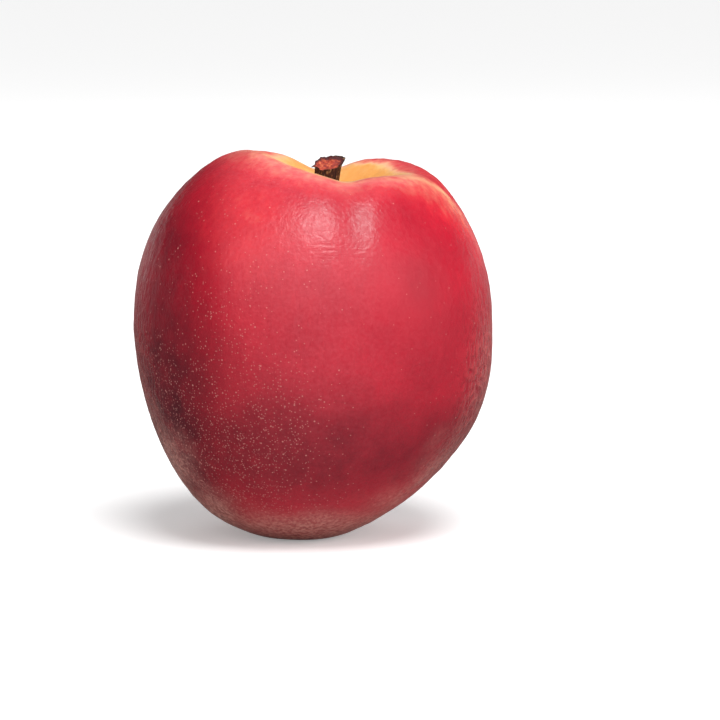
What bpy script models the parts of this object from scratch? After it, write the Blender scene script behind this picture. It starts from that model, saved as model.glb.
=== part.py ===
"""A whole nectarine as picked: the fruit, and the stub of woody stalk in its cavity.

Frame: metres, +Z up. The fruit rests on a small flat spot in the plane z = 0, whose middle
is the origin. The front of the fruit, where its suture starts, faces -Y.
"""

import math

import bmesh
import bpy
from mathutils import Matrix, Vector

MM = 0.001

# Fruit, along and around its own axis, from its widest level.
CHEEK_RADIUS = 34.6 * MM
SUTURE_RADIUS = 33.8 * MM
SHOULDER_HEIGHT = 37.3 * MM
TIP_DEPTH = 40.2 * MM
SHOULDER_ROUNDNESS = (2.30, 2.18)
TIP_ROUNDNESS = (2.42, 1.75)
TAPER = 0.082

# The hollow that the stalk stands in.
CAVITY_DEPTH = 11.0 * MM
CAVITY_RADIUS = 11.3 * MM
CAVITY_FORM = 2.55
TOP_STARTS = 0.25 * SHOULDER_HEIGHT
TOP_BLEND = 5.0 * MM

# The shoulders round it. Each one: heading from the suture, half its spread, the ring it
# stands on, half the ring's width, and how far it rises.
SHOULDERS = (
    (math.radians(-71.0), math.radians(36.0), 14.4 * MM, 4.6 * MM, 1.87 * MM),
    (math.radians(-123.0), math.radians(36.0), 21.2 * MM, 6.0 * MM, 0.86 * MM),
    (math.radians(44.0), math.radians(41.0), 21.2 * MM, 6.0 * MM, 1.55 * MM),
    (math.radians(122.0), math.radians(41.0), 21.2 * MM, 6.0 * MM, 2.03 * MM),
)

# The suture: a notch in the cavity's lip, front and back, that runs on as a faint groove.
NOTCH_DEPTH = 1.0 * MM
NOTCH_WIDTH = 4.0 * MM
BACK_NOTCH_DEPTH = 3.7 * MM
BACK_NOTCH_WIDTH = 6.2 * MM
BACK_NOTCH_OFFSET = 2.7 * MM
NOTCH_BLEND = 2.0 * MM
NOTCH_RING = 12.4 * MM
NOTCH_RING_WIDTH = 12.5 * MM
SUTURE_DEPTH = 0.3 * MM
SUTURE_WIDTH = 3.0 * MM
SUTURE_FADES = 6.0 * MM

# How the fruit grew and how it sits.
SUTURE_TURN = math.radians(11.8)
LEAN = math.radians(6.4)
NOD = math.radians(2.4)
CHEEK_SWELL = 0.089
CHEEK_SWELL_SPREAD = (0.115, 0.167)
CHEEK_SWELL_BLEND = 0.35
CHEEK_SWELL_BREADTH = 1.6
CHEEK_SWELL_RISE = math.radians(-27.3)
BASE_SHIFT = -1.3 * MM
BASE_SHIFT_LEVEL = 35.0 * MM
FLAT_SPOT_CUT = 0.55 * MM
FLAT_SPOT_EASE = 0.3 * MM
FLAT_SPOT_MIDDLE = (-1.3 * MM, 0.5 * MM)

# Stalk, from its foot in the cavity floor along the fruit's axis.
STALK_LENGTH = 7.8 * MM
STALK_RADIUS = 2.35 * MM
STALK_FLARE = 0.2 * MM
STALK_FLARE_LENGTH = 1.4 * MM
STALK_GROOVES = 9
STALK_GROOVE_DEPTH = 0.05
BREAK_SLOPE = 0.42
BREAK_TOWARDS = math.radians(-27.0)
BREAK_ROUGHNESS = 0.12 * MM
BEAK_TOWARDS = math.radians(112.0)
BEAK_SPREAD = math.radians(24.0)
BEAK_REACH = 1.25 * MM
BEAK_RISE = -0.1 * MM
CHIP_TOWARDS = math.radians(-95.0)
CHIP_SPREAD = math.radians(42.0)
CHIP_FALL = 0.8 * MM
SOCKET_DEPTH = 1.6 * MM
FIT = 0.3 * MM

FRUIT_CUTS = 28
CROWDING = 0.35
STALK_SIDES = 32
STALK_RINGS = 13
BREAK_RINGS = 4
SOCKET_SIDES = 32

SKIN_COLOUR = (0.45, 0.04, 0.06, 1.0)
STALK_COLOUR = (0.10, 0.035, 0.02, 1.0)


def clear_scene():
    """Removes what the scene holds."""
    for thing in list(bpy.data.objects):
        bpy.data.objects.remove(thing, do_unlink=True)


def new_collection(name):
    """A collection of its own, linked to the scene."""
    collection = bpy.data.collections.new(name)
    bpy.context.scene.collection.children.link(collection)
    return collection


def plain_material(name, colour, roughness):
    """A Principled material of one colour."""
    material = bpy.data.materials.new(name)
    material.use_nodes = True
    shader = material.node_tree.nodes["Principled BSDF"]
    shader.inputs["Base Color"].default_value = colour
    shader.inputs["Roughness"].default_value = roughness
    shader.inputs["Metallic"].default_value = 0.0
    material.diffuse_color = colour
    return material


def skin_material():
    """Waxy red skin."""
    return plain_material("nectarine_skin", SKIN_COLOUR, 0.42)


def stalk_material():
    """Dry dark wood."""
    return plain_material("stalk_wood", STALK_COLOUR, 0.8)


def bell(distance, width):
    """A smooth hump, 1 in its middle."""
    return math.exp(-((distance / width) ** 2))


def smooth_step(value):
    """A smooth change from 0 to 1."""
    share = min(1.0, max(0.0, value))
    return share * share * (3 - 2 * share)


def power(value, exponent):
    """A power that keeps the sign."""
    return math.copysign(abs(value) ** exponent, value)


def turned_from(angle, towards):
    """The angle between two headings, from -pi to pi."""
    return (angle - towards + math.pi) % (2 * math.pi) - math.pi


def plump_point(polar, azimuth):
    """A point of the fruit's plain swollen body, without its top."""
    upper = polar < math.pi / 2
    across, upward = SHOULDER_ROUNDNESS if upper else TIP_ROUNDNESS
    rise = SHOULDER_HEIGHT if upper else TIP_DEPTH
    height = rise * power(math.cos(polar), 2 / upward)
    reach = math.sin(polar) ** (2 / across) * (1 + TAPER * height / SHOULDER_HEIGHT)
    x = CHEEK_RADIUS * reach * math.sin(azimuth)
    y = -SUTURE_RADIUS * reach * math.cos(azimuth)
    return x, y, height


def shoulder_rise(radius, azimuth):
    """How far the shoulders stand up at a place round the cavity."""
    rise = 0.0
    for towards, spread, ring, ring_width, lift in SHOULDERS:
        facing = bell(turned_from(azimuth, towards), spread)
        rise += lift * facing * bell(radius - ring, ring_width)
    return rise


def notch_fall(x, y):
    """How far the suture sinks the cavity's lip."""
    behind = 1 / (1 + math.exp(-y / NOTCH_BLEND))
    front = NOTCH_DEPTH * bell(x, NOTCH_WIDTH)
    back = BACK_NOTCH_DEPTH * bell(x - BACK_NOTCH_OFFSET, BACK_NOTCH_WIDTH)
    ring = bell(math.hypot(x, y) - NOTCH_RING, NOTCH_RING_WIDTH)
    return ring * (front + (back - front) * behind)


def fruit_point(direction):
    """The point of the skin that a unit direction from the fruit's middle stands for."""
    share = math.acos(max(-1.0, min(1.0, direction.z))) / math.pi
    polar = math.pi * ((1 - CROWDING) * share + CROWDING * share * share)
    azimuth = math.atan2(direction.x, -direction.y)
    x, y, height = plump_point(polar, azimuth)
    radius = math.hypot(x, y)

    on_top = 1 / (1 + math.exp((TOP_STARTS - height) / TOP_BLEND))
    cavity = CAVITY_DEPTH * math.exp(-((radius / CAVITY_RADIUS) ** CAVITY_FORM))
    rise = shoulder_rise(radius, azimuth) - cavity - notch_fall(x, y)
    groove = SUTURE_DEPTH * bell(x, SUTURE_WIDTH) * math.sqrt(max(0.0, math.cos(azimuth)))
    y *= 1 - groove / max(radius, SUTURE_FADES)
    return Vector((x, y, height + on_top * rise))


def axis_turn():
    """How the fruit's own axis and suture are turned in the frame."""
    nod = Matrix.Rotation(NOD, 4, "X")
    lean = Matrix.Rotation(LEAN, 4, "Y")
    return nod @ lean @ Matrix.Rotation(SUTURE_TURN, 4, "Z")


def grown(point):
    """The point moved out where the right cheek swells, and aside where the base grew askew."""
    towards = Vector((math.cos(CHEEK_SWELL_RISE), 0, math.sin(CHEEK_SWELL_RISE)))
    heading = Vector((point.x, point.y / CHEEK_SWELL_BREADTH, point.z)).normalized()
    below = smooth_step((towards.z - heading.z) / CHEEK_SWELL_BLEND)
    above_spread, below_spread = CHEEK_SWELL_SPREAD
    spread = above_spread + (below_spread - above_spread) * below
    moved = point * (1 + CHEEK_SWELL * math.exp((heading.dot(towards) - 1) / spread))
    low = min(1.0, max(0.0, -moved.z / BASE_SHIFT_LEVEL))
    moved.x += BASE_SHIFT * low * low
    return moved


def fruit_vertices(body):
    """Moves the vertices of an even grid to the skin; returns the level of the flat spot."""
    turn = axis_turn()
    for vertex in body.verts:
        even = Vector([math.tan(c * math.pi / 4) for c in vertex.co]).normalized()
        vertex.co = grown(turn @ fruit_point(even))
    return min(vertex.co.z for vertex in body.verts) + FLAT_SPOT_CUT


def settle(body, level):
    """Presses the lowest skin flat and puts the flat spot's middle at the origin."""
    for vertex in body.verts:
        above = max(vertex.co.z - level, 0.0)
        vertex.co.x -= FLAT_SPOT_MIDDLE[0]
        vertex.co.y -= FLAT_SPOT_MIDDLE[1]
        vertex.co.z = above * above / (above + FLAT_SPOT_EASE)


def mesh_object(name, body, collection, material=None):
    """An object of its own made from a bmesh."""
    bmesh.ops.recalc_face_normals(body, faces=body.faces)
    mesh = bpy.data.meshes.new(name)
    body.to_mesh(mesh)
    body.free()
    mesh.shade_smooth()
    if material is not None:
        mesh.materials.append(material)
    thing = bpy.data.objects.new(name, mesh)
    collection.objects.link(thing)
    return thing


def make_fruit(collection):
    """The whole fruit; returns it and the level its flat spot was cut at."""
    body = bmesh.new()
    bmesh.ops.create_cube(body, size=2)
    bmesh.ops.subdivide_edges(body, edges=body.edges, cuts=FRUIT_CUTS, use_grid_fill=True)
    level = fruit_vertices(body)
    settle(body, level)
    return mesh_object("fruit", body, collection, skin_material()), level


def cavity_floor(level):
    """Where the axis meets the cavity's floor, and the axis' own turn, in the frame."""
    turn = axis_turn()
    floor = turn @ Vector((0, 0, SHOULDER_HEIGHT - CAVITY_DEPTH))
    floor.x -= FLAT_SPOT_MIDDLE[0]
    floor.y -= FLAT_SPOT_MIDDLE[1]
    floor.z -= level + FLAT_SPOT_EASE
    return Matrix.Translation(floor) @ turn


def stalk_radius(height, azimuth):
    """The stalk's radius: a grooved shaft that flares to its broken end, with a beak."""
    flare = STALK_FLARE * math.exp(-max(0.0, STALK_LENGTH - height) / STALK_FLARE_LENGTH)
    above_foot = min(1.0, max(0.0, (height - SOCKET_DEPTH) / (2 * MM)))
    groove = STALK_GROOVE_DEPTH * above_foot * math.cos(STALK_GROOVES * azimuth)
    beak = BEAK_REACH * bell(turned_from(azimuth, BEAK_TOWARDS), BEAK_SPREAD)
    near_end = max(0.0, 1 - (STALK_LENGTH - height) / STALK_FLARE_LENGTH)
    return STALK_RADIUS * (1 + groove) + flare + beak * near_end * near_end


def break_height(x, y, azimuth, share):
    """How high the broken face stands: a slope, splinters, a beak and a chip."""
    slope = BREAK_SLOPE * (x * math.sin(BREAK_TOWARDS) - y * math.cos(BREAK_TOWARDS))
    splinters = math.sin(3 * azimuth + 0.6) + 0.7 * math.sin(5 * azimuth + 2.1)
    beak = BEAK_RISE * bell(turned_from(azimuth, BEAK_TOWARDS), BEAK_SPREAD)
    chip = CHIP_FALL * bell(turned_from(azimuth, CHIP_TOWARDS), CHIP_SPREAD)
    return share * share * (BREAK_ROUGHNESS * splinters + beak - chip) - slope


def stalk_ring(body, height, share, topmost):
    """One ring of stalk vertices; share shrinks it towards the axis."""
    ring = []
    for step in range(STALK_SIDES):
        azimuth = 2 * math.pi * step / STALK_SIDES
        radius = stalk_radius(height, azimuth) * share
        x = radius * math.sin(azimuth)
        y = -radius * math.cos(azimuth)
        level = height + topmost * break_height(x, y, azimuth, share)
        ring.append(body.verts.new((x, y, level)))
    return ring


def bridge(body, lower, upper):
    """Faces between two rings of the same length."""
    for step in range(len(lower)):
        after = (step + 1) % len(lower)
        body.faces.new((lower[step], lower[after], upper[after], upper[step]))


def make_stalk(collection, place):
    """The stub of stalk, its foot in the socket and its broken end above the lip."""
    body = bmesh.new()
    foot = FIT - SOCKET_DEPTH
    rings = []
    for step in range(STALK_RINGS + 1):
        along = step / STALK_RINGS
        topmost = along * along * along
        rings.append(stalk_ring(body, foot + (STALK_LENGTH - foot) * along, 1.0, topmost))
    for step in range(1, BREAK_RINGS):
        rings.append(stalk_ring(body, STALK_LENGTH, 1 - step / BREAK_RINGS, 1.0))
    for lower, upper in zip(rings, rings[1:]):
        bridge(body, lower, upper)
    body.faces.new(list(reversed(rings[0])))
    crown = body.verts.new((0, 0, STALK_LENGTH))
    for step in range(STALK_SIDES):
        body.faces.new((rings[-1][step], rings[-1][(step + 1) % STALK_SIDES], crown))
    body.transform(place)
    return mesh_object("stalk", body, collection, stalk_material())


def cut_socket(fruit, collection, place):
    """Cuts the round socket that the stalk's foot stands in."""
    body = bmesh.new()
    reach = SOCKET_DEPTH + 5 * MM
    middle = Matrix.Translation((0, 0, reach / 2 - SOCKET_DEPTH))
    radius = STALK_RADIUS + FIT
    bmesh.ops.create_cone(
        body,
        cap_ends=True,
        segments=SOCKET_SIDES,
        radius1=radius,
        radius2=radius,
        depth=reach,
        matrix=place @ middle,
    )
    cutter = mesh_object("socket_cutter", body, collection)
    cutter.hide_render = True
    cutter.display_type = "WIRE"
    socket = fruit.modifiers.new("socket", "BOOLEAN")
    socket.operation = "DIFFERENCE"
    socket.solver = "EXACT"
    socket.object = cutter


def main():
    """Builds the fruit and its stalk."""
    clear_scene()
    nectarine = new_collection("nectarine")
    cutters = new_collection("cutters")
    fruit, level = make_fruit(nectarine)
    place = cavity_floor(level)
    cut_socket(fruit, cutters, place)
    make_stalk(nectarine, place)


if __name__ == "__main__":
    main()
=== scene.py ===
"""A ripe nectarine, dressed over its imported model.

The fine skin and the fine stalk repeat the forms of the two solids of the frame and stand in
for them, with the small relief, the colours and the gloss that the plain solids leave out.
Everything is in metres, with +Z up and the front of the fruit towards -Y.
"""

import logging
import math
from dataclasses import astuple, dataclass
from enum import Enum
from functools import cached_property
from typing import Sequence

import bmesh
import bpy
import numpy as np
from mathutils import Matrix, Vector, noise


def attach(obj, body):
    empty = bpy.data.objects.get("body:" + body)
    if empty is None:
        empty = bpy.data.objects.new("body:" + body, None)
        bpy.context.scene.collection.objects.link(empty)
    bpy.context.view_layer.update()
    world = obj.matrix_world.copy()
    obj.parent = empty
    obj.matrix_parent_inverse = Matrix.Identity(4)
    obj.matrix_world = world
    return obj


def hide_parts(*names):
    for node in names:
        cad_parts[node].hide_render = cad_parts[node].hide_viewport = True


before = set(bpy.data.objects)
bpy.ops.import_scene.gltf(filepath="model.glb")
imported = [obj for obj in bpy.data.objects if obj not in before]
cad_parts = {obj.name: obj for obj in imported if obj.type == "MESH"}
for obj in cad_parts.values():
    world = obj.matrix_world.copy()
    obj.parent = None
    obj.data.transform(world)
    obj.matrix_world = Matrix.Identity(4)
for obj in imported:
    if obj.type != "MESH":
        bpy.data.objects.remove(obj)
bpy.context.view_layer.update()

MM = 0.001

Array = np.ndarray
Colour = tuple[float, float, float, float]
Socket = bpy.types.NodeSocket

log = logging.getLogger("nectarine")


def bell(distance: Array, width: float) -> Array:
    """A smooth hump, 1 in its middle and 1/e at its width from there."""
    return np.exp(-((distance / width) ** 2))


def eased(value: Array) -> Array:
    """A smooth change from 0 to 1 while the value goes from 0 to 1."""
    share = np.clip(value, 0.0, 1.0)
    return share * share * (3 - 2 * share)


def turned_from(angle: Array, towards: float) -> Array:
    """The angles between headings and one heading, from -pi to pi."""
    return (angle - towards + math.pi) % (2 * math.pi) - math.pi


def clouds(places: Array, size: float, octaves: int, seed: float) -> Array:
    """Fractal noise at each place, from about -1 to 1.

    Args:
        places: Rows of x, y, z.
        size: The size of the largest lumps, in the units of the places.
        octaves: How many times finer lumps are added.
        seed: Moves the pattern, so that two calls differ.

    Returns:
        One value for each place.
    """
    shifted = places / size + seed
    total = np.zeros(len(shifted))
    for octave in range(octaves):
        scaled = shifted * 2.0**octave
        layer = np.array([noise.noise(Vector(place)) for place in scaled])
        total += layer * 0.5**octave
    return total


@dataclass(frozen=True)
class Shoulder:
    """One swelling of the rim round the cavity."""

    heading: float
    spread: float
    ring: float
    ring_width: float
    rise: float

    def lift(self, radius: Array, azimuth: Array) -> Array:
        """How far the swelling stands up at each place."""
        facing = bell(turned_from(azimuth, self.heading), self.spread)
        return self.rise * facing * bell(radius - self.ring, self.ring_width)


@dataclass(frozen=True)
class FruitForm:
    """The sizes of the fruit, the same as those of its solid."""

    cheek_radius: float = 34.6 * MM
    suture_radius: float = 33.8 * MM
    shoulder_height: float = 37.3 * MM
    tip_depth: float = 40.2 * MM
    shoulder_roundness: tuple[float, float] = (2.30, 2.18)
    tip_roundness: tuple[float, float] = (2.42, 1.75)
    taper: float = 0.082
    cavity_depth: float = 11.0 * MM
    cavity_radius: float = 11.3 * MM
    cavity_form: float = 2.55
    top_blend: float = 5.0 * MM
    shoulders: tuple[Shoulder, ...] = (
        Shoulder(math.radians(-71.0), math.radians(36.0), 14.4 * MM, 4.6 * MM, 1.87 * MM),
        Shoulder(math.radians(-123.0), math.radians(36.0), 21.2 * MM, 6.0 * MM, 0.86 * MM),
        Shoulder(math.radians(44.0), math.radians(41.0), 21.2 * MM, 6.0 * MM, 1.55 * MM),
        Shoulder(math.radians(122.0), math.radians(41.0), 21.2 * MM, 6.0 * MM, 2.03 * MM),
    )
    notch_depth: float = 1.0 * MM
    notch_width: float = 4.0 * MM
    back_notch_depth: float = 3.7 * MM
    back_notch_width: float = 6.2 * MM
    back_notch_offset: float = 2.7 * MM
    notch_blend: float = 2.0 * MM
    notch_ring: float = 12.4 * MM
    notch_ring_width: float = 12.5 * MM
    suture_depth: float = 0.3 * MM
    suture_width: float = 3.0 * MM
    suture_fades: float = 6.0 * MM
    suture_turn: float = math.radians(11.8)
    lean: float = math.radians(6.4)
    nod: float = math.radians(2.4)
    cheek_swell: float = 0.089
    cheek_swell_spread: tuple[float, float] = (0.115, 0.167)
    cheek_swell_blend: float = 0.35
    cheek_swell_breadth: float = 1.6
    cheek_swell_rise: float = math.radians(-27.3)
    base_shift: float = -1.3 * MM
    base_shift_level: float = 35.0 * MM
    flat_spot_cut: float = 0.55 * MM
    flat_spot_ease: float = 0.3 * MM
    flat_spot_middle: tuple[float, float] = (-1.3 * MM, 0.5 * MM)
    crowding: float = 0.35

    def polar_of(self, directions: Array) -> tuple[Array, Array]:
        """The polar angle and heading that each even direction stands for.

        Args:
            directions: Rows of unit directions from the fruit's middle.

        Returns:
            The polar angles, crowded towards the top, and the headings from the suture.
        """
        share = np.arccos(np.clip(directions[:, 2], -1.0, 1.0)) / math.pi
        polar = math.pi * ((1 - self.crowding) * share + self.crowding * share * share)
        return polar, np.arctan2(directions[:, 0], -directions[:, 1])

    def plump(self, polar: Array, azimuth: Array) -> tuple[Array, Array, Array]:
        """Points of the plain swollen body, without its top.

        Args:
            polar: Angles from the stalk end.
            azimuth: Headings from the suture.

        Returns:
            The points' x, y and height along the axis.
        """
        upper = polar < math.pi / 2
        across = np.where(upper, self.shoulder_roundness[0], self.tip_roundness[0])
        upward = np.where(upper, self.shoulder_roundness[1], self.tip_roundness[1])
        rise = np.where(upper, self.shoulder_height, self.tip_depth)
        level = np.cos(polar)
        height = rise * np.sign(level) * np.abs(level) ** (2 / upward)
        reach = np.sin(polar) ** (2 / across)
        reach *= 1 + self.taper * height / self.shoulder_height
        x = self.cheek_radius * reach * np.sin(azimuth)
        y = -self.suture_radius * reach * np.cos(azimuth)
        return x, y, height

    def notch_fall(self, x: Array, y: Array) -> Array:
        """How far the suture sinks the cavity's lip.

        Args:
            x: Distance to the right of the suture's plane.
            y: Distance behind the axis.

        Returns:
            The fall at each place.
        """
        behind = 1 / (1 + np.exp(-y / self.notch_blend))
        front = self.notch_depth * bell(x, self.notch_width)
        back = self.back_notch_depth * bell(x - self.back_notch_offset, self.back_notch_width)
        ring = bell(np.hypot(x, y) - self.notch_ring, self.notch_ring_width)
        return ring * (front + (back - front) * behind)

    def own_points(self, polar: Array, azimuth: Array) -> Array:
        """Points of the skin in the fruit's own frame, upright on its axis.

        Args:
            polar: Angles from the stalk end.
            azimuth: Headings from the suture.

        Returns:
            Rows of x, y, z.
        """
        x, y, height = self.plump(polar, azimuth)
        radius = np.hypot(x, y)
        starts = 0.25 * self.shoulder_height
        on_top = 1 / (1 + np.exp((starts - height) / self.top_blend))
        rise = -self.cavity_depth * np.exp(-((radius / self.cavity_radius) ** self.cavity_form))
        for shoulder in self.shoulders:
            rise = rise + shoulder.lift(radius, azimuth)
        rise = rise - self.notch_fall(x, y)
        groove = self.suture_depth * bell(x, self.suture_width)
        groove *= np.sqrt(np.maximum(0.0, np.cos(azimuth)))
        y = y * (1 - groove / np.maximum(radius, self.suture_fades))
        return np.stack((x, y, height + on_top * rise), axis=1)

    def turn(self) -> Matrix:
        """How the fruit's axis and suture are turned in the frame.

        Returns:
            The turn.
        """
        nod = Matrix.Rotation(self.nod, 4, "X")
        lean = Matrix.Rotation(self.lean, 4, "Y")
        return nod @ lean @ Matrix.Rotation(self.suture_turn, 4, "Z")

    def grown(self, points: Array) -> Array:
        """The points with the swollen right cheek and the base that grew askew.

        Args:
            points: Rows of x, y, z about the fruit's middle, turned as it stands.

        Returns:
            The moved points.
        """
        rise = self.cheek_swell_rise
        squeezed = points / np.array((1.0, self.cheek_swell_breadth, 1.0))
        heading = squeezed / np.linalg.norm(squeezed, axis=1, keepdims=True)
        near = heading[:, 0] * math.cos(rise) + heading[:, 2] * math.sin(rise)
        below = eased((math.sin(rise) - heading[:, 2]) / self.cheek_swell_blend)
        above_spread, below_spread = self.cheek_swell_spread
        spread = above_spread + (below_spread - above_spread) * below
        moved = points * (1 + self.cheek_swell * np.exp((near - 1) / spread))[:, None]
        low = np.clip(-moved[:, 2] / self.base_shift_level, 0.0, 1.0)
        moved[:, 0] += self.base_shift * low * low
        return moved

    def standing(self, own: Array) -> Array:
        """The points where they stand, leaned and pressed flat underneath.

        Args:
            own: Rows of x, y, z in the fruit's own frame.

        Returns:
            Rows of x, y, z in the row frame.
        """
        turned = own @ np.array(self.turn().to_3x3()).T
        points = self.grown(turned)
        above = np.maximum(points[:, 2] - self.floor_level(), 0.0)
        points[:, 0] -= self.flat_spot_middle[0]
        points[:, 1] -= self.flat_spot_middle[1]
        points[:, 2] = above * above / (above + self.flat_spot_ease)
        return points

    def floor_level(self) -> float:
        """The level, below the fruit's middle, at which the flat spot is pressed.

        Returns:
            The height, below 0.
        """
        polar, azimuth = np.meshgrid(
            np.linspace(0.8 * math.pi, math.pi, 90), np.linspace(-math.pi, math.pi, 120)
        )
        own = self.own_points(polar.ravel(), azimuth.ravel())
        points = self.grown(own @ np.array(self.turn().to_3x3()).T)
        return float(points[:, 2].min()) + self.flat_spot_cut

    def cavity_floor(self) -> Matrix:
        """Where the stalk stands: the cavity's floor, turned with the fruit's axis.

        Returns:
            The place and the turn.
        """
        turn = self.turn()
        floor = turn @ Vector((0, 0, self.shoulder_height - self.cavity_depth))
        floor.x -= self.flat_spot_middle[0]
        floor.y -= self.flat_spot_middle[1]
        floor.z -= self.floor_level() + self.flat_spot_ease
        return Matrix.Translation(floor) @ turn


@dataclass(frozen=True)
class SkinRelief:
    """The small unevenness of the skin, always inwards, so that the fruit keeps its size."""

    pebble_size: float = 2.1 * MM
    pebble_depth: float = 0.10 * MM
    ripple_size: float = 2.8 * MM
    ripple_depth: float = 0.18 * MM
    swell_size: float = 11.0 * MM
    swell_depth: float = 0.16 * MM
    calm_height: float = 2.0 * MM
    suture_depth: float = 0.15 * MM
    suture_width: float = 2.5 * MM
    suture_aside: float = 1.4 * MM
    suture_span: tuple[float, float] = (14.0 * MM, 26.0 * MM)

    def depth(self, points: Array, grain: Array, own: Array) -> Array:
        """How far the skin lies below the plain form.

        Args:
            points: Rows of x, y, z where the skin stands.
            grain: The same places in lengths along and round the fruit.
            own: The same places in the fruit's own frame.

        Returns:
            The depth at each place.
        """
        pebbles = 0.5 + 0.5 * clouds(points, self.pebble_size, 2, 3.7)
        ripples = 0.5 + 0.5 * clouds(grain, self.ripple_size, 2, 11.2)
        swells = 0.5 + 0.5 * clouds(points, self.swell_size, 1, 7.1)
        heading = np.arctan2(points[:, 0], -points[:, 1])
        flank = eased((np.abs(heading) - 0.5) / 0.9)
        rough = 0.35 + 0.65 * flank
        depth = rough * (self.pebble_depth * pebbles + self.ripple_depth * ripples)
        depth += self.swell_depth * swells
        low, high = self.suture_span
        front = eased(-own[:, 1] / (8 * MM)) * eased((own[:, 2] - low) / (high - low))
        depth += self.suture_depth * front * bell(own[:, 0] - self.suture_aside, self.suture_width)
        return np.maximum(depth, 0.0) * eased(points[:, 2] / self.calm_height)


class Attribute(Enum):
    """The named values that the skin's and the stalk's meshes carry for their materials."""

    GRAIN = "grain"
    BARE = "bare"
    MAROON_AND_PAINTED_SHADE = "maroon_and_painted_shade"
    BROWN_AND_PAINTED_REFLECTION = "brown_and_painted_reflection"
    SPECKLE = "speckle"
    PINKNESS_AND_PAINTED_SHEEN = "pinkness_and_painted_sheen"
    CREASED = "creased"
    WRINKLED = "wrinkled"
    BROKEN = "broken"


def store(mesh: bpy.types.Mesh, name: Attribute, values: Array) -> None:
    """Keeps one value, or one row of three, for each vertex of a mesh.

    Args:
        mesh: The mesh.
        name: The attribute's name.
        values: One number or one row of x, y, z for each vertex.
    """
    flat = values.ndim == 1
    kind = "FLOAT" if flat else "FLOAT_VECTOR"
    layer = mesh.attributes.new(name.value, kind, "POINT")
    key = "value" if flat else "vector"
    layer.data.foreach_set(key, np.ascontiguousarray(values, np.float32).ravel())


def coordinates(mesh: bpy.types.Mesh) -> Array:
    """The places of a mesh's vertices.

    Args:
        mesh: The mesh.

    Returns:
        Rows of x, y, z.
    """
    flat = np.empty(len(mesh.vertices) * 3, np.float32)
    mesh.vertices.foreach_get("co", flat)
    return flat.reshape(-1, 3).astype(float)


def move_to(mesh: bpy.types.Mesh, points: Array) -> None:
    """Puts a mesh's vertices at new places, given as rows of x, y, z."""
    mesh.vertices.foreach_set("co", np.ascontiguousarray(points, np.float32).ravel())
    mesh.update()


@dataclass(frozen=True)
class Patches:
    """One use of the mottle: how large its patches are, how broken up, and between what they fade."""

    size: float
    detail: float
    low: float = 0.3
    high: float = 0.7


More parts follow.
